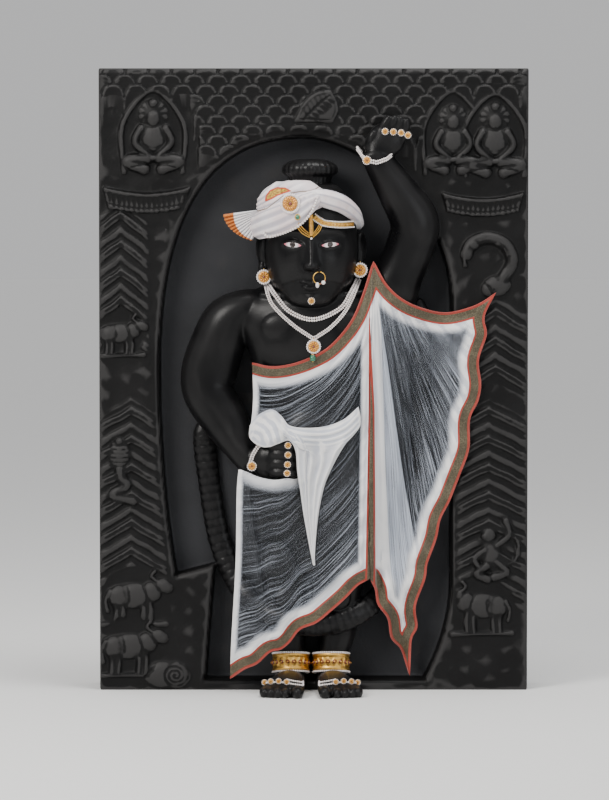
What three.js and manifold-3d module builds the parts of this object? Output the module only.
// A dressed stone figure of a standing deity: one black stone slab with the figure carved in high relief
// in its arched niche, a muslin shawl with a metal-thread border, a bound turban and jewellery.
// Millimetres, +Z up, front towards -Y, X to the viewer's right. The slab's underside is at Z = 0.
import * as THREE from "three";
import { mergeVertices } from "three/addons/utils/BufferGeometryUtils.js";
import Module from "manifold-3d";

const wasm = await Module();
wasm.setup();

// Driving dimensions of the stone
const SLAB_WIDTH = 944;
const SLAB_HEIGHT = 1370;
const DEPTH = 320; // from the toes to the back of the slab
const BACK_Y = DEPTH / 2;
const FACE_Y = 10; // the slab's front face
const NICHE_Y = 75; // the niche's back wall
const STEP_HEIGHT = 20; // the low step left at the foot of the niche
const RELIEF = 13; // how far the rock carving stands in front of the face
const GAP = 0.5; // between neighbouring pieces

const UP = new THREE.Vector3(0, 0, 1);
const DEEP = new THREE.Vector3(0, 1, 0);

// A closed three.js geometry as a solid that can be joined and cut
function solid(geometry) {
  const bare = geometry.clone();
  bare.deleteAttribute("normal");
  bare.deleteAttribute("uv");
  const merged = mergeVertices(bare, 1e-3);
  const mesh = new wasm.Mesh({
    numProp: 3,
    vertProperties: merged.attributes.position.array,
    triVerts: new Uint32Array(merged.index.array),
  });
  return new wasm.Manifold(mesh);
}

function join(solids) {
  return solids.reduce((whole, piece) => whole.add(piece));
}

// The largest closed surface of a solid, without sealed voids, loose crumbs or slivers under SLIVER
const SLIVER = 0.2;

function outerShell(whole) {
  const largest = (best, part) => (part.volume() > best.volume() ? part : best);
  return whole.simplify(SLIVER).decompose().reduce(largest).simplify(SLIVER);
}

function geometryOf(piece) {
  const mesh = piece.getMesh();
  const geometry = new THREE.BufferGeometry();
  geometry.setAttribute("position", new THREE.BufferAttribute(mesh.vertProperties, 3));
  geometry.setIndex(new THREE.BufferAttribute(mesh.triVerts, 1));
  geometry.computeVertexNormals();
  return geometry;
}

// A round-ended limb: ellipses with half sizes [across, deep] round the middle points [x, y, z]
function limb(stations, sides, rings, deepAxis = DEEP) {
  const middles = new THREE.CatmullRomCurve3(stations.map((s) => new THREE.Vector3(...s.at)));
  const halves = new THREE.CatmullRomCurve3(stations.map((s) => new THREE.Vector3(...s.half, 0)));
  const geometry = new THREE.SphereGeometry(1, sides, rings);
  const points = geometry.attributes.position;
  for (let row = 0; row <= rings; row++) {
    const t = row / rings;
    const end = row === 0 || row === rings;
    const middle = middles.getPoint(t);
    const half = halves.getPoint(t).multiplyScalar(end ? 0 : 1);
    const along = middles.getTangent(t);
    const across = deepAxis.clone().cross(along).normalize();
    const deep = along.clone().cross(across);
    for (let column = 0; column <= sides; column++) {
      const angle = (2 * Math.PI * (column % sides)) / sides;
      const point = middle.clone();
      point.addScaledVector(across, -half.x * Math.cos(angle));
      point.addScaledVector(deep, half.y * Math.sin(angle));
      points.setXYZ(row * (sides + 1) + column, point.x, point.y, point.z);
    }
  }
  return solid(geometry);
}

function ellipsoid([x, y, z], [halfX, halfY, halfZ], sides = 6, rings = 4, turn = 0) {
  const geometry = new THREE.SphereGeometry(1, sides, rings);
  geometry.rotateX(Math.PI / 2);
  geometry.scale(halfX, halfY, halfZ);
  geometry.rotateY(turn);
  geometry.translate(x, y, z);
  return solid(geometry);
}

// A flat shape drawn in X and Z, made into a plate from frontY back to backY
function plate(shape, frontY, backY, curveSegments = 8) {
  const geometry = new THREE.ExtrudeGeometry(shape, {
    depth: backY - frontY,
    bevelEnabled: false,
    curveSegments,
  });
  geometry.rotateX(Math.PI / 2);
  geometry.translate(0, backY, 0);
  return solid(geometry);
}

// The niche: a round arch on walls that draw in towards the foot, with a rock stump at its left
const NICHE = {
  left: -342,
  right: 305,
  top: 1221,
  crownX: -23,
  leftSpring: 708,
  rightSpring: 862,
  stumpTop: 262,
  stumpRight: -221,
  footLeft: -241,
  footRight: 245,
};

function nicheShape() {
  const shape = new THREE.Shape();
  shape.moveTo(NICHE.footLeft, STEP_HEIGHT);
  shape.lineTo(NICHE.footRight, STEP_HEIGHT);
  shape.quadraticCurveTo(NICHE.right, 130, NICHE.right, 240);
  shape.lineTo(NICHE.right, NICHE.rightSpring);
  shape.bezierCurveTo(NICHE.right, 1060, 110, NICHE.top, NICHE.crownX, NICHE.top);
  shape.bezierCurveTo(-240, NICHE.top, NICHE.left, 1040, NICHE.left, NICHE.leftSpring);
  shape.quadraticCurveTo(NICHE.left, 470, -305, NICHE.stumpTop - 10);
  shape.lineTo(NICHE.stumpRight, NICHE.stumpTop + 12);
  shape.closePath();
  return shape;
}

function slab() {
  const block = new THREE.BoxGeometry(SLAB_WIDTH, BACK_Y - FACE_Y, SLAB_HEIGHT);
  block.translate(0, (BACK_Y + FACE_Y) / 2, SLAB_HEIGHT / 2);
  return solid(block).subtract(plate(nicheShape(), FACE_Y - 50, NICHE_Y, 7));
}

// Rock tiers in roof-shaped rows down both sides of the niche, as the hill is drawn
const TIER = { pitch: 62, drop: 44, width: 20, proud: 9 };
const TIER_COLUMNS = [
  { middle: -402, reach: 76, from: 235, to: 600 },
  { middle: -424, reach: 56, from: 790, to: 1040 },
  { middle: 386, reach: 90, from: 235, to: 600 },
  { middle: 400, reach: 74, from: 700, to: 830 },
];

function rockTiers() {
  const tiers = [];
  for (const { middle, reach, from, to } of TIER_COLUMNS) {
    for (let z = from; z <= to; z += TIER.pitch) {
      const shape = new THREE.Shape();
      shape.moveTo(middle - reach, z - TIER.drop);
      shape.lineTo(middle, z);
      shape.lineTo(middle + reach, z - TIER.drop);
      shape.lineTo(middle + reach, z - TIER.drop + TIER.width);
      shape.lineTo(middle, z + TIER.width);
      shape.lineTo(middle - reach, z - TIER.drop + TIER.width);
      tiers.push(plate(shape, FACE_Y - TIER.proud, FACE_Y + RELIEF));
    }
  }
  return join(tiers);
}

// Rounded hill tops in overlapping rows across the head of the slab
const HILL_ROWS = [
  { z: 1322, from: -466, tops: 18, proud: 6 },
  { z: 1278, from: -440, tops: 2, proud: 9 },
  { z: 1278, from: -170, tops: 2, proud: 9 },
  { z: 1278, from: 80, tops: 2, proud: 9 },
  { z: 1278, from: 225, tops: 2, proud: 9 },
];
const HILL = { wide: 51, high: 36 };

function hillTops() {
  const rows = HILL_ROWS.map(({ z, from, tops, proud }) => {
    const shape = new THREE.Shape();
    shape.moveTo(from, z - 8);
    shape.lineTo(from, z);
    for (let n = 0; n < tops; n++) {
      const left = from + n * HILL.wide;
      shape.quadraticCurveTo(left, z + HILL.high, left + HILL.wide / 2, z + HILL.high);
      shape.quadraticCurveTo(left + HILL.wide, z + HILL.high, left + HILL.wide, z);
    }
    shape.lineTo(from + tops * HILL.wide, z - 8);
    return plate(shape, FACE_Y - proud, FACE_Y + RELIEF, 2);
  });
  return join(rows);
}

// A seated sage in a rock cell: round hair, trunk, folded legs and hands in the lap
const SAGES = [
  { x: -352, z: 1140, size: 1 },
  { x: 306, z: 1138, size: 0.94 },
  { x: 398, z: 1132, size: 1 },
];

function sage({ x, z, size }) {
  const at = (dx, dz) => [x + dx * size, FACE_Y, z + dz * size];
  const big = (...halves) => halves.map((h) => h * size);
  return join([
    ellipsoid(at(0, 130), big(33, 9, 33), 6, 5),
    ellipsoid(at(0, 126), big(18, 15, 22)),
    ellipsoid(at(0, 74), big(40, 13, 44)),
    ellipsoid(at(0, 22), big(60, 14, 23)),
  ]);
}

// The ribbed ledges, bowed like baskets, that the sages' cells stand on
const LEDGES = [
  { from: -462, to: -270, z: 1112, sag: 14, high: 44 },
  { from: 282, to: 462, z: 1100, sag: 14, high: 40 },
];

function ledge({ from, to, z, sag, high }) {
  const middle = (from + to) / 2;
  const shape = new THREE.Shape();
  shape.moveTo(from, z);
  shape.quadraticCurveTo(middle, z - 2 * sag, to, z);
  shape.lineTo(to - 12, z - high);
  shape.quadraticCurveTo(middle, z - high - 2 * sag, from + 12, z - high);
  shape.closePath();
  return plate(shape, FACE_Y - RELIEF, FACE_Y + RELIEF, 5);
}

// A standing animal seen from the side; facing is 1 to the right and -1 to the left
const BEASTS = [
  { x: -425, z: 745, size: 1, facing: 1 },
  { x: -395, z: 150, size: 1.35, facing: 1 },
  { x: -405, z: 38, size: 1.35, facing: 1 },
  { x: 372, z: 130, size: 1.3, facing: -1 },
];
const BEAST_OUTLINE = [
  [-36, 0],
  [-22, 0],
  [-20, 22],
  [16, 22],
  [18, 0],
  [31, 0],
  [35, 42],
  [62, 46],
  [60, 62],
  [38, 76],
  [20, 58],
  [-34, 60],
  [-42, 44],
];

function beast({ x, z, size, facing }) {
  const shape = new THREE.Shape(
    BEAST_OUTLINE.map(([out, up]) => new THREE.Vector2(x + out * size * facing, z + up * size)),
  );
  return plate(shape, FACE_Y - 11, FACE_Y + RELIEF);
}

// The hooded snake, the long-necked bird and the small bird over the arch
function snakeAndBirds() {
  const neck = [
    { at: [335, FACE_Y, 940], half: [6, 8] },
    { at: [348, FACE_Y, 985], half: [11, 12] },
    { at: [395, FACE_Y, 990], half: [12, 12] },
    { at: [428, FACE_Y, 950], half: [17, 13] },
    { at: [405, FACE_Y, 890], half: [30, 14] },
    { at: [350, FACE_Y, 880], half: [12, 9] },
  ];
  const leaf = new THREE.Shape();
  leaf.moveTo(-46, 1250);
  leaf.quadraticCurveTo(-22, 1332, 40, 1324);
  leaf.quadraticCurveTo(74, 1280, 42, 1248);
  leaf.closePath();
  return join([
    ellipsoid([-428, FACE_Y, 524], [23, 13, 35]),
    ellipsoid([-424, FACE_Y, 474], [12, 11, 40]),
    limb(neck, 6, 8),
    plate(leaf, FACE_Y - 11, FACE_Y + RELIEF, 4),
  ]);
}

// The figure's trunk, legs and neck
function body() {
  const trunk = [
    { at: [-4, 15, 250], half: [92, 46] },
    { at: [-4, 15, 300], half: [116, 58] },
    { at: [-4, 14, 380], half: [134, 66] },
    { at: [-2, 13, 460], half: [139, 69] },
    { at: [0, 13, 540], half: [126, 68] },
    { at: [0, 15, 610], half: [117, 64] },
    { at: [0, 15, 690], half: [128, 66] },
    { at: [0, 14, 770], half: [150, 72] },
    { at: [-2, 18, 835], half: [172, 66] },
    { at: [-3, 24, 880], half: [140, 50] },
    { at: [-4, 26, 912], half: [70, 44] },
  ];
  const leg = (hip, knee, ankle) =>
    limb(
      [
        { at: [hip, 18, 345], half: [52, 50] },
        { at: [hip, 16, 300], half: [66, 58] },
        { at: [knee, 16, 200], half: [52, 50] },
        { at: [knee, 18, 130], half: [43, 44] },
        { at: [ankle, 20, 62], half: [31, 34] },
        { at: [ankle, 20, 22], half: [31, 36] },
        { at: [ankle, 20, 4], half: [24, 30] },
      ],
      8,
      7,
    );
  return join([limb(trunk, 12, 8), leg(-60, -57, -50), leg(56, 51, 39)]);
}

// The head, with its ears, and the flat bun of hair above it
function head() {
  const skull = [
    { at: [-5, -34, 842], half: [22, 22] },
    { at: [-5, -30, 853], half: [48, 48] },
    { at: [-5, -14, 885], half: [80, 78] },
    { at: [-5, -4, 925], half: [97, 92] },
    { at: [-5, 0, 975], half: [103, 98] },
    { at: [-5, 2, 1025], half: [99, 98] },
    { at: [-5, 6, 1070], half: [88, 90] },
    { at: [-5, 8, 1105], half: [66, 70] },
    { at: [-5, 8, 1122], half: [40, 45] },
  ];
  const bun = [
    { at: [-8, 8, 1096], half: [46, 46] },
    { at: [-8, 8, 1126], half: [47, 46] },
    { at: [-8, 8, 1142], half: [60, 54] },
    { at: [-8, 8, 1158], half: [57, 52] },
    { at: [-8, 8, 1172], half: [34, 34] },
  ];
  return join([
    limb(skull, 14, 9),
    limb(bun, 9, 5),
    ellipsoid([-112, 8, 966], [13, 24, 50]),
    ellipsoid([102, 8, 966], [13, 24, 50]),
    ellipsoid([-5, -98, 938], [17, 18, 14]),
    ellipsoid([-5, -90, 968], [11, 18, 36]),
    ellipsoid([-5, -90, 899], [26, 13, 10]),
  ]);
}

// The arm bent to the hip, on the viewer's left, and its closed hand
function hipArm() {
  const arm = [
    { at: [-96, 22, 846], half: [34, 34] },
    { at: [-146, 24, 846], half: [40, 44] },
    { at: [-188, 26, 818], half: [54, 50] },
    { at: [-210, 28, 768], half: [60, 51] },
    { at: [-230, 30, 704], half: [62, 50] },
    { at: [-231, 26, 655], half: [56, 49] },
    { at: [-192, 8, 592], half: [50, 44] },
    { at: [-152, -22, 528], half: [35, 31] },
    { at: [-128, -34, 500], half: [30, 26] },
  ];
  const fingers = [0, 1, 2, 3].map((n) =>
    limb(
      [
        { at: [-98, -62, 548 - 20 * n], half: [7, 7] },
        { at: [-84, -82, 548 - 20 * n], half: [10.5, 10.5] },
        { at: [-52, -84, 546 - 20 * n], half: [10.5, 10.5] },
        { at: [-36, -72, 545 - 20 * n], half: [9, 9] },
      ],
      5,
      4,
    ),
  );
  return join([
    limb(arm, 9, 7),
    ellipsoid([-96, -52, 514], [42, 32, 44]),
    ...fingers,
  ]);
}

// The raised arm, on the viewer's right, and its hand with four fingers and a thumb
function raisedArm() {
  const arm = [
    { at: [110, 26, 850], half: [50, 42] },
    { at: [160, 24, 868], half: [62, 50] },
    { at: [190, 20, 925], half: [54, 50] },
    { at: [214, 12, 985], half: [53, 50] },
    { at: [220, 4, 1036], half: [53, 50] },
    { at: [184, -6, 1100], half: [44, 42] },
    { at: [138, -14, 1172], half: [32, 30] },
    { at: [130, -16, 1190], half: [30, 27] },
  ];
  const palm = [
    { at: [133, -16, 1178], half: [28, 24] },
    { at: [144, -16, 1196], half: [36, 24] },
    { at: [162, -18, 1218], half: [40, 22] },
    { at: [172, -20, 1236], half: [32, 16] },
  ];
  const fingers = [0, 1, 2, 3].map((n) =>
    limb(
      [
        { at: [146 + 15 * n, -20, 1222 - 2 * n * n], half: [9, 9] },
        { at: [150 + 16 * n, -26, 1238 - n * n], half: [9.6, 10] },
        { at: [161 + 14 * n, -30, 1256 - n * n], half: [9, 9.5] },
        { at: [165 + 13 * n, -28, 1267 + n * (1.5 - 1.2 * n)], half: [6, 6] },
      ],
      5,
      4,
    ),
  );
  const thumb = [
    { at: [128, -20, 1192], half: [9, 10] },
    { at: [126, -26, 1214], half: [10, 10] },
    { at: [134, -30, 1234], half: [7, 7] },
  ];
  return join([limb(arm, 9, 7), limb(palm, 7, 4), ...fingers, limb(thumb, 4, 4)]);
}

// A toe with six flat sides, one corner of which points forward
function toe([x, y, z], [halfX, halfY, halfZ]) {
  const geometry = new THREE.SphereGeometry(1, 6, 4);
  geometry.rotateX(Math.PI / 2);
  geometry.rotateZ(Math.PI / 6);
  geometry.scale(halfX / Math.cos(Math.PI / 6), halfY, halfZ);
  geometry.translate(x, y, z);
  return solid(geometry);
}

// A foot with five toes; side is -1 on the viewer's left, with the big toe always on the inner side
function foot(side, ankleX) {
  const at = (out, y, z) => [ankleX + side * out, y, z];
  const sole = [
    { at: at(-2, 52, 14), half: [22, 16] },
    { at: at(-1, 30, 20), half: [31, 24] },
    { at: at(4, -30, 26), half: [37, 32] },
    { at: at(14, -84, 18), half: [46, 22] },
    { at: at(20, -116, 12), half: [50, 15] },
    { at: at(21, -128, 10), half: [44, 12] },
  ];
  const toes = [-15, 11, 29, 45, 59].map((out, n) => {
    const big = n === 0;
    const middle = at(out, (big ? -138 : -137) + n * 4.5, big ? 12 : 10);
    return toe(middle, big ? [14, 22, 14] : [10, 21, 12]);
  });
  return join([limb(sole, 8, 5, UP), ...toes]);
}

// The long garland that hangs from both arms and crosses the shins
function garland() {
  const path = [
    { at: [-236, 66, 590], half: [12, 9] },
    { at: [-242, 62, 560], half: [27, 15] },
    { at: [-230, 62, 450], half: [27, 15] },
    { at: [-206, 60, 320], half: [27, 15] },
    { at: [-160, 36, 222], half: [27, 15] },
    { at: [-96, -18, 170], half: [26, 16] },
    { at: [-4, -34, 148], half: [26, 16] },
    { at: [92, -18, 168], half: [26, 16] },
    { at: [160, 34, 226], half: [27, 15] },
    { at: [214, 60, 340], half: [27, 15] },
    { at: [236, 62, 480], half: [27, 15] },
    { at: [236, 62, 800], half: [27, 15] },
    { at: [222, 64, 860], half: [12, 9] },
  ];
  return limb(path, 5, 14);
}

// The whole monolith, cut flat underneath so that the slab and both feet stand on one plane
function monolith() {
  const rock = join([
    rockTiers(),
    hillTops(),
    ...SAGES.map(sage),
    ...LEDGES.map(ledge),
    ...BEASTS.map(beast),
    snakeAndBirds(),
  ]);
  const faceOutline = new THREE.Shape();
  const halfWidth = SLAB_WIDTH / 2;
  faceOutline.moveTo(-halfWidth, 0);
  faceOutline.lineTo(halfWidth, 0);
  faceOutline.lineTo(halfWidth, SLAB_HEIGHT);
  faceOutline.lineTo(-halfWidth, SLAB_HEIGHT);
  const face = plate(faceOutline, FACE_Y - 40, FACE_Y + 40);
  const niche = plate(nicheShape(), FACE_Y - 60, NICHE_Y, 7);
  const carving = rock.intersect(face).subtract(niche);
  const figure = join([
    body(),
    head(),
    hipArm(),
    raisedArm(),
    foot(-1, -50),
    foot(1, 39),
    garland(),
  ]);
  const ground = new THREE.BoxGeometry(2 * SLAB_WIDTH, 4 * DEPTH, 200);
  ground.translate(0, 0, -100);
  const whole = join([slab(), carving, figure]).subtract(solid(ground));
  return outerShell(whole);
}

// A piece with everything cut away that is nearer than GAP to its neighbours, most of which lie behind
const SHIFTS = [
  [0, -GAP, 0],
  [-GAP, 0, 0],
  [GAP, 0, 0],
  [0, 0, -GAP],
  [0, 0, GAP],
  [0, GAP, 0],
];
const TRIVIAL = 0.02; // mm3

function clearOf(piece, ...neighbours) {
  let left = piece;
  for (const neighbour of neighbours) {
    for (const shift of SHIFTS) {
      const near = neighbour.translate(shift);
      if (left.intersect(near).volume() > TRIVIAL) left = left.subtract(near);
    }
  }
  return outerShell(left);
}

// A small piece moved off its neighbours, by a millimetre at a time, until it clears them by GAP
const MOST_LIFTS = 7;
const FORWARD = [0, -1, 0];
const UPWARD = [0, 0, 1];

function lifted(piece, direction, ...neighbours) {
  for (let lift = 0; lift <= MOST_LIFTS; lift++) {
    const moved = piece.translate(direction.map((d) => d * lift));
    const kept = moved.translate(direction.map((d) => -d * GAP));
    const held = neighbours.map((n) => moved.intersect(n).volume() + kept.intersect(n).volume());
    if (Math.max(...held) < TRIVIAL) return moved;
  }
  return clearOf(piece.translate(direction.map((d) => 2 * d)), ...neighbours);
}

// The foremost Y of the given solids at x, z; where there is none, the slab's face
function frontOf(...solids) {
  const meshes = solids.map((piece) => new THREE.Mesh(geometryOf(piece)));
  const caster = new THREE.Raycaster();
  return (x, z) => {
    caster.set(new THREE.Vector3(x, -2 * DEPTH, z), DEEP);
    const hits = caster.intersectObjects(meshes);
    return hits.length ? hits[0].point.y : FACE_Y;
  };
}

// A smooth line through points [x, z] of the front view, read at t from 0 to 1
function line(points) {
  const curve = new THREE.SplineCurve(points.map(([x, z]) => new THREE.Vector2(x, z)));
  return (t) => curve.getPointAt(t);
}

// A point inside four edges: top and foot run with u, near and far with v
function patch({ top, foot, near, far }, u, v) {
  const point = new THREE.Vector2();
  point.addScaledVector(top(u), 1 - v).addScaledVector(foot(u), v);
  point.addScaledVector(near(v), 1 - u).addScaledVector(far(v), u);
  point.addScaledVector(top(0), -(1 - u) * (1 - v)).addScaledVector(top(1), -u * (1 - v));
  return point.addScaledVector(foot(0), -(1 - u) * v).addScaledVector(foot(1), -u * v);
}

// Where cloth hangs: patches share their near and far edges, and each row hangs from the one above,
// swinging back by fall for each millimetre it drops, unless what is under it holds it out
const SPREAD = 18; // how far the cloth bridges past what holds it out

function hangingGrid(patches, columns, rows, { start, air, fall }, front) {
  const steps = [-SPREAD, 0, SPREAD];
  const reach = steps.flatMap((dx) => steps.map((dz) => [dx, dz]));
  const grid = [];
  for (let column = 0; column <= columns * patches.length; column++) {
    const index = Math.min(patches.length - 1, Math.floor(column / columns));
    const u = column / columns - index;
    const strip = [];
    let hung = start;
    for (let row = 0; row <= rows; row++) {
      const { x, y: z } = patch(patches[index], u, row / rows);
      const held = Math.min(...reach.map(([dx, dz]) => front(x + dx, z + dz))) - air;
      const drop = row ? Math.max(0, strip[row - 1].z - z) : 0;
      hung = Math.min(held, hung + fall * drop);
      strip.push(new THREE.Vector3(x, hung, z));
    }
    grid.push(strip);
  }
  return grid;
}

// Draws the cloth taut across, so that it bridges hollows
function tauten(grid, passes) {
  for (let pass = 0; pass < passes; pass++) {
    for (let column = 1; column < grid.length - 1; column++) {
      grid[column].forEach((point, row) => {
        const mean = (grid[column - 1][row].y + grid[column + 1][row].y) / 2;
        point.y = Math.min(point.y, mean);
      });
    }
  }
}

// A closed sheet over patches; thick gives its thickness at u, v
function cloth(patches, columns, rows, hang, front) {
  const grid = hangingGrid(patches, columns, rows, hang, front);
  tauten(grid, 2);
  const across = grid.length - 1;
  const sheet = new THREE.BoxGeometry(1, 1, 1, across, 1, rows);
  const points = sheet.attributes.position;
  for (let i = 0; i < points.count; i++) {
    const u = points.getX(i) + 0.5;
    const v = 0.5 - points.getZ(i);
    const { x, y, z } = grid[Math.round(u * across)][Math.round(v * rows)];
    points.setXYZ(i, x, points.getY(i) > 0 ? y : y - hang.thick(u, v), z);
  }
  return solid(sheet);
}

// The shawl: one sheet that hangs from the peak on the left shoulder. Its body panel covers trunk and
// legs, and its free end spreads over the rock at the viewer's right.
const PEAK = [131, 950];
const ARMPIT = [-135, 728];
const FAR_TIP = [401, 880];
const LEFT_TIP = [-184, 26];
const MIDDLE_FOOT = [124, 246];
const RIGHT_TIP = [212, 29];
const SHAWL_HANG = { start: FACE_Y, air: 2, fall: 0.1, thick: () => 4 };

function shawlSheet(front) {
  const middle = line([PEAK, [124, 700], [121, 450], MIDDLE_FOOT]);
  const bodyPanel = {
    top: line([ARMPIT, [-60, 719], [20, 753], [80, 814], PEAK]),
    foot: line([LEFT_TIP, [-52, 112], [50, 196], MIDDLE_FOOT]),
    near: line([ARMPIT, [-142, 580], [-171, 290], LEFT_TIP]),
    far: middle,
  };
  const freeEnd = {
    top: line([PEAK, [180, 874], [289, 832], [350, 847], FAR_TIP]),
    foot: line([MIDDLE_FOOT, [158, 168], RIGHT_TIP]),
    near: middle,
    far: line([FAR_TIP, [372, 800], [352, 600], [272, 330], RIGHT_TIP]),
  };
  return cloth([bodyPanel, freeEnd], 7, 12, SHAWL_HANG, front).subtract(handHole());
}

// The gap in the shawl's edge through which the hand on the hip shows
function handHole() {
  const shape = new THREE.Shape();
  shape.moveTo(-250, 470);
  shape.lineTo(-172, 490);
  shape.quadraticCurveTo(-90, 458, -30, 478);
  shape.lineTo(-24, 548);
  shape.lineTo(-64, 572);
  shape.lineTo(-130, 566);
  shape.lineTo(-250, 600);
  shape.closePath();
  return plate(shape, -BACK_Y, 60, 3);
}

// The shawl's gathered end: bunched over the wrist and drawn across the waist, then falling to a point
const GATHER = { edge: 2, bag: 20, bagEnd: 0.35, band: 12, tail: 12, tip: 4 };

function gatheredEnd(front) {
  const { edge, bag, bagEnd, band, tail, tip } = GATHER;
  const waist = {
    top: line([[-138, 592], [-84, 620], [-52, 592], [26, 588], [66, 604], [98, 631]]),
    foot: line([[-132, 548], [-84, 552], [-50, 556], [16, 546], [71, 551], [102, 585]]),
    near: line([[-138, 592], [-142, 570], [-132, 548]]),
    far: line([[98, 631], [101, 608], [102, 585]]),
  };
  const drop = {
    top: line([[-50, 576], [10, 574], [70, 578]]),
    foot: line([[-3, 284], [1, 280], [5, 284]]),
    near: line([[-50, 576], [-37, 500], [-21, 394], [-3, 284]]),
    far: line([[70, 578], [44, 500], [13, 409], [5, 284]]),
  };
  const bunched = (u, v) => edge + (u < bagEnd ? bag : band) * Math.sin(Math.PI * v);
  const pleated = (u, v) => edge + (tail + (tip - tail) * v) * Math.sin(Math.PI * u);
  return join([
    cloth([waist], 7, 3, { start: 0, air: 2, fall: 0, thick: bunched }, front),
    cloth([drop], 3, 6, { start: 0, air: 2, fall: 0.02, thick: pleated }, front),
  ]);
}

// The turban: a crown bound over the head, a broad fold across the brow and a band round to the far ear
function turban() {
  const browFold = [
    { at: [-112, 34, 1030], half: [14, 22] },
    { at: [-122, -14, 1024], half: [20, 28] },
    { at: [-98, -74, 1032], half: [20, 31] },
    { at: [-54, -108, 1048], half: [20, 31] },
    { at: [-14, -112, 1074], half: [18, 24] },
    { at: [14, -96, 1092], half: [12, 12] },
  ];
  const farBand = [
    { at: [-20, -98, 1092], half: [10, 10] },
    { at: [22, -96, 1086], half: [15, 19] },
    { at: [60, -76, 1074], half: [15, 19] },
    { at: [88, -34, 1052], half: [14, 16] },
    { at: [98, 14, 1032], half: [12, 12] },
    { at: [98, 44, 1024], half: [8, 8] },
  ];
  return join([
    ellipsoid([-56, -8, 1066], [78, 90, 64], 8, 6, 0.15),
    limb(browFold, 6, 7, UP),
    limb(farBand, 6, 6, UP),
  ]);
}

// The turban's loose end, pleated into a fan at the viewer's left
const FAN = { frontY: -26, backY: -20 };

function fan() {
  const shape = new THREE.Shape();
  shape.moveTo(-118, 1064);
  shape.lineTo(-197, 1050);
  shape.quadraticCurveTo(-180, 1006, -134, 992);
  shape.lineTo(-112, 1046);
  shape.closePath();
  return plate(shape, FAN.frontY, FAN.backY, 5);
}

// A round jewel with its face forward and its back at y
function rosette([x, y, z], radius, thick, sides) {
  const profile = [
    [0, thick],
    [0.6 * radius, thick],
    [radius, 0.6 * thick],
    [radius, 0],
    [0, 0],
  ];
  const turned = profile.map(([r, h]) => new THREE.Vector2(r, -h));
  const geometry = new THREE.LatheGeometry(turned, sides);
  geometry.translate(x, y, z);
  return solid(geometry);
}

// A round jewel that lies on what is behind x, z
function mounted([x, z], radius, thick, front, sides = 8) {
  const rim = 0.8 * radius;
  const spots = [[x, z], [x - rim, z], [x + rim, z], [x, z - rim], [x, z + rim]];
  const y = Math.min(...spots.map((spot) => front(...spot))) - GAP;
  return rosette([x, y, z], radius, thick, sides);
}

function bead([x, z], radius, front) {
  return ellipsoid([x, front(x, z) - radius - 2 * GAP, z], [radius, radius, radius]);
}

// A strand through points [x, y, z]; its section is a regular polygon
function strand(points, radius, steps, { sides = 5, closed = false } = {}) {
  const path = points.map((p) => new THREE.Vector3(...p));
  const curve = new THREE.CatmullRomCurve3(path, closed);
  if (closed) return solid(new THREE.TubeGeometry(curve, steps, radius, sides, true));
  const corners = Array.from({ length: sides }, (_, n) => (2 * Math.PI * n) / sides);
  const section = new THREE.Shape(
    corners.map((angle) => new THREE.Vector2(radius * Math.cos(angle), radius * Math.sin(angle))),
  );
  return solid(new THREE.ExtrudeGeometry(section, { steps, extrudePath: curve }));
}

// A line of the front view laid on what is behind it: count points [x, y, z], pulled taut over dips
function laid(points, count, radius, front) {
  const flat = line(points);
  const path = [];
  for (let n = 0; n < count; n++) {
    const { x, y: z } = flat(n / (count - 1));
    const sides = [[0, 0], [radius, 0], [-radius, 0], [0, radius], [0, -radius]];
    const held = Math.min(...sides.map(([dx, dz]) => front(x + dx, z + dz)));
    path.push([x, held - radius - 2 * GAP, z]);
  }
  for (let n = 1; n < count - 1; n++) {
    path[n][1] = Math.min(path[n][1], (path[n - 1][1] + path[n + 1][1]) / 2);
  }
  return path;
}

// Points of a loop that fits round a limb: from a point inside it, out to its skin and past by offset
function fitted({ inside, u, v }, offset, count, piece) {
  const material = new THREE.MeshBasicMaterial({ side: THREE.BackSide });
  const skin = new THREE.Mesh(geometryOf(piece), material);
  const caster = new THREE.Raycaster();
  const points = [];
  for (let n = 0; n < count; n++) {
    const angle = (2 * Math.PI * n) / count;
    const out = new THREE.Vector3(...u).multiplyScalar(Math.cos(angle));
    out.addScaledVector(new THREE.Vector3(...v), Math.sin(angle)).normalize();
    caster.set(new THREE.Vector3(...inside), out);
    const [exit] = caster.intersectObject(skin);
    points.push(exit.point.addScaledVector(out, offset).toArray());
  }
  return points;
}

// An almond of enamel set in each eye
const EYE = { middle: -5, apart: 82, z: 984, half: [20, 7, 9] };

function eye(side, front) {
  const x = EYE.middle + (side * EYE.apart) / 2;
  return ellipsoid([x, front(x, EYE.z) + 1, EYE.z], EYE.half);
}

// A rosette that hangs from the lobe above it
const EARRINGS = { left: [-109, 913], right: [102, 928], radius: 16.5, thick: 8, lobe: 12 };

function earring([x, z], front) {
  const y = front(x, z + EARRINGS.lobe) - 2 * GAP;
  return rosette([x, y, z], EARRINGS.radius, EARRINGS.thick, 10);
}

// The forehead ornament: a swept bow with a bar rising from its middle
function foreheadOrnament(front) {
  const radius = 2.8;
  const sweep = laid([[-36, 1023], [-5, 998], [21, 1034]], 7, radius, front);
  const bar = laid([[-6, 1048], [-5, 998]], 4, radius, front);
  return join([strand(sweep, radius, 6, { sides: 4 }), strand(bar, radius, 3, { sides: 4 })]);
}

// The nose ring with a round pearl and a drop pearl
const NOSE_RING = { at: [12, 914], radius: 15, tube: 1.6 };

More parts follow.
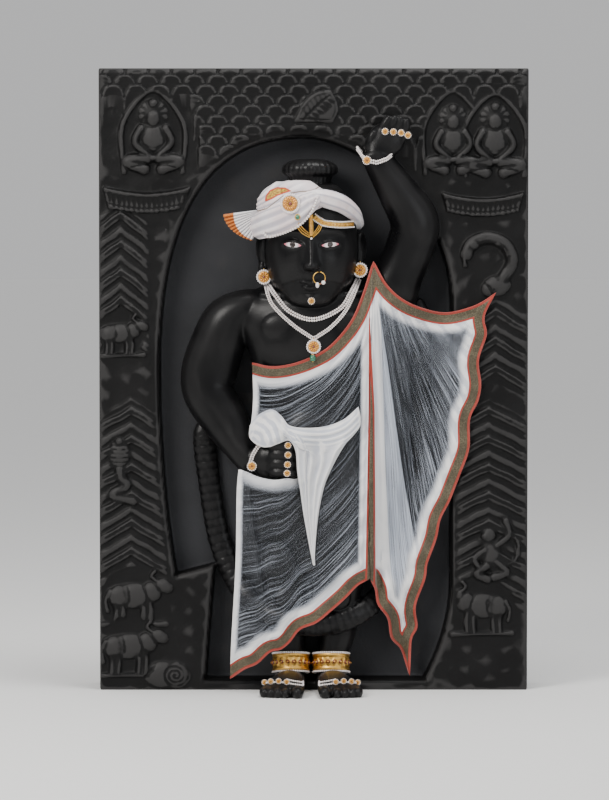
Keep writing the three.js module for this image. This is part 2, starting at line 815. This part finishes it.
function noseRing(front) {
  const [x, z] = NOSE_RING.at;
  const y = front(EYE.middle, z + NOSE_RING.radius) - 4 * NOSE_RING.tube;
  const ring = new THREE.TorusGeometry(NOSE_RING.radius, NOSE_RING.tube, 3, 9);
  ring.rotateX(Math.PI / 2);
  ring.translate(x, y, z);
  return join([
    solid(ring),
    ellipsoid([x + 10, y, z - 11], [5, 5, 5]),
    ellipsoid([x - 2, y, z - 17], [4.5, 4.5, 7]),
  ]);
}

// An anklet: a plain broad band, oval in plan
const ANKLET = { low: 38, high: 80, radius: 36, wall: 5, deep: 1.12, middleY: 20 };

function anklet(middle) {
  const { low, high, radius, wall, deep, middleY } = ANKLET;
  const profile = [
    [radius, high],
    [radius, low],
    [radius + wall, low],
    [radius + wall, high],
    [radius, high],
  ];
  const geometry = new THREE.LatheGeometry(profile.map(([r, h]) => new THREE.Vector2(r, h)), 10);
  geometry.rotateX(Math.PI / 2);
  geometry.scale(1, deep, 1);
  geometry.translate(middle, middleY, 0);
  return solid(geometry);
}

// A string of pearls from the anklet, round over the toes and back, lying on the foot
const TOE_CHAIN = [
  [-26, -30],
  [-24, -84],
  [-6, -122],
  [20, -128],
  [44, -112],
  [52, -72],
  [40, -28],
];

function toeChain(side, middle, under) {
  const mesh = new THREE.Mesh(geometryOf(under));
  const caster = new THREE.Raycaster();
  const radius = 3;
  const steps = 12;
  const flat = line(TOE_CHAIN);
  const points = [];
  for (let n = 0; n <= steps; n++) {
    const { x: out, y } = flat(n / steps);
    const x = middle + side * out;
    caster.set(new THREE.Vector3(x, y, SLAB_HEIGHT / 10), UP.clone().negate());
    const [hit] = caster.intersectObject(mesh);
    points.push([x, y, hit.point.z + radius + 3 * GAP]);
  }
  return strand(points, radius, steps, { sides: 4 });
}

// The whole dressed figure
const STONE = [0x16171a, 0.45];
const MUSLIN = [0xe9e6e2, 0.8];
const GOLD = [0xc99a35, 0.3, 0.9];
const PEARL = [0xefe9e4, 0.25];
const ENAMEL = [0xf2dfe2, 0.3];
const EMERALD = [0x1f7a4a, 0.15];
const group = new THREE.Group();

function add(name, [colour, roughness, metalness = 0], piece) {
  const material = new THREE.MeshStandardMaterial({ color: colour, roughness, metalness });
  const mesh = new THREE.Mesh(geometryOf(piece), material);
  mesh.name = name;
  group.add(mesh);
  return piece;
}

const stone = add("carved_stone", STONE, monolith());
const stoneFront = frontOf(stone);
const shawl = add("shawl", MUSLIN, clearOf(shawlSheet(stoneFront), stone));
const bunch = gatheredEnd(frontOf(stone, shawl));
const gathered = add("waist_sash", MUSLIN, clearOf(bunch, stone, shawl));

// The headcloth and the jewels on it
const TURBAN_EDGE = [
  [-108, 1022],
  [-100, 1003],
  [-82, 1006],
  [-51, 1016],
  [-26, 1031],
  [-6, 1054],
  [8, 1086],
];
const TURBAN_BAND = [
  [2, 1046],
  [26, 1030],
  [56, 1027],
  [84, 1027],
];
const BROOCH = { at: [-51, 1073], radius: 18, thick: 9 };
const headcloth = add("turban", MUSLIN, clearOf(turban(), stone));
add("turban_fan", MUSLIN, clearOf(fan(), stone, headcloth));
const headFront = frontOf(stone, headcloth);
const edge = strand(laid(TURBAN_EDGE, 11, 4, headFront), 4, 10);
const pearls = add("turban_pearls", PEARL, lifted(edge, FORWARD, stone, headcloth));
const disc = mounted(BROOCH.at, BROOCH.radius, BROOCH.thick, headFront);
const brooch = add("turban_brooch", GOLD, lifted(disc, FORWARD, headcloth, pearls));
const gem = bead([-35, 1045], 6, headFront);
add("turban_emerald", EMERALD, lifted(gem, FORWARD, headcloth, pearls, brooch));
const strip = strand(laid(TURBAN_BAND, 7, 7, headFront), 8, 6, { sides: 6 });
const headBand = add("turban_band", GOLD, clearOf(strip, stone, headcloth, pearls));
const mark = foreheadOrnament(headFront);
add("forehead_ornament", GOLD, lifted(mark, FORWARD, stone, headcloth, pearls, headBand));

// The jewels of the face
add("eye_left", ENAMEL, clearOf(eye(-1, stoneFront), stone));
add("eye_right", ENAMEL, clearOf(eye(1, stoneFront), stone));
add("earring_left", GOLD, lifted(earring(EARRINGS.left, stoneFront), FORWARD, stone));
add("earring_right", GOLD, lifted(earring(EARRINGS.right, stoneFront), FORWARD, stone));
add("nose_ring", GOLD, lifted(noseRing(stoneFront), FORWARD, stone));
add("chin_jewel", GOLD, lifted(mounted([-5, 862], 8, 4, stoneFront), FORWARD, stone));

// The necklaces, which lie on the chest below the chin, and the pendant at their lowest point
const NECKLACE_UPPER = [
  [-100, 895],
  [-84, 872],
  [-52, 836],
  [0, 820],
  [57, 842],
  [82, 878],
  [97, 909],
];
const NECKLACE_LOWER = [
  [-104, 886],
  [-90, 850],
  [-51, 812],
  [-10, 784],
  [0, 779],
  [10, 784],
  [41, 805],
  [72, 840],
  [96, 880],
];
const chest = frontOf(body());
const upperLine = strand(laid(NECKLACE_UPPER, 12, 5.5, chest), 5.5, 11);
const upper = add("necklace_upper", PEARL, lifted(upperLine, FORWARD, stone));
const lowerLine = strand(laid(NECKLACE_LOWER, 13, 4.5, chest), 4.5, 12);
const lower = add("necklace_lower", PEARL, lifted(lowerLine, FORWARD, stone, upper, shawl));
const chestFront = frontOf(stone, lower, shawl);
const medal = mounted([0, 762], 16, 8, chestFront);
const pendant = add("pendant", GOLD, lifted(medal, FORWARD, stone, lower, shawl));
const drop = bead([-2, 737], 8, chestFront);
add("pendant_emerald", EMERALD, lifted(drop, FORWARD, stone, shawl, pendant));

// Bracelets: pearls across the raised wrist, and a loop fitted round the other
const RAISED_WRIST = [
  [99, 1187],
  [112, 1170],
  [138, 1163],
  [163, 1168],
];
const HIP_WRIST = { inside: [-134, -34, 524], u: [-0.48, 0.1, -0.87], v: [0.5, 0.8, -0.2] };
const BRACELET_PEARL = 5;
const raisedPath = laid(RAISED_WRIST, 7, BRACELET_PEARL, stoneFront);
const raisedString = strand(raisedPath, BRACELET_PEARL, 6);
const raised = add("bracelet_raised", PEARL, lifted(raisedString, FORWARD, stone));
const hipPath = fitted(HIP_WRIST, BRACELET_PEARL + 3, 8, stone);
const hipString = strand(hipPath, BRACELET_PEARL, 8, { closed: true });
const onHip = add("bracelet_hip", PEARL, clearOf(hipString, stone, gathered, shawl));

// A small rosette on each finger
const JEWELLED_FINGERS = {
  raised: [
    [156, 1231],
    [174, 1230],
    [191, 1228],
    [206, 1223],
  ],
  hip: [
    [-56, 548],
    [-56, 527],
    [-57, 506],
    [-58, 487],
  ],
};
const FINGER_ROSETTE = { radius: 7.6, thick: 5 };
const ringFront = frontOf(stone, raised, onHip);
for (const [hand, spots] of Object.entries(JEWELLED_FINGERS)) {
  spots.forEach((spot, n) => {
    const ring = mounted(spot, FINGER_ROSETTE.radius, FINGER_ROSETTE.thick, ringFront, 6);
    const name = "finger_ring_" + hand + "_" + (n + 1);
    add(name, GOLD, lifted(ring, FORWARD, stone, gathered, shawl));
  });
}

// Anklets and toe strings
for (const [name, side, middle] of [["left", -1, -50], ["right", 1, 39]]) {
  const ring = add("anklet_" + name, GOLD, clearOf(anklet(middle), stone, shawl));
  const chain = toeChain(side, middle, stone);
  add("toe_chain_" + name, PEARL, lifted(chain, UPWARD, stone, ring, shawl));
}

export default group;
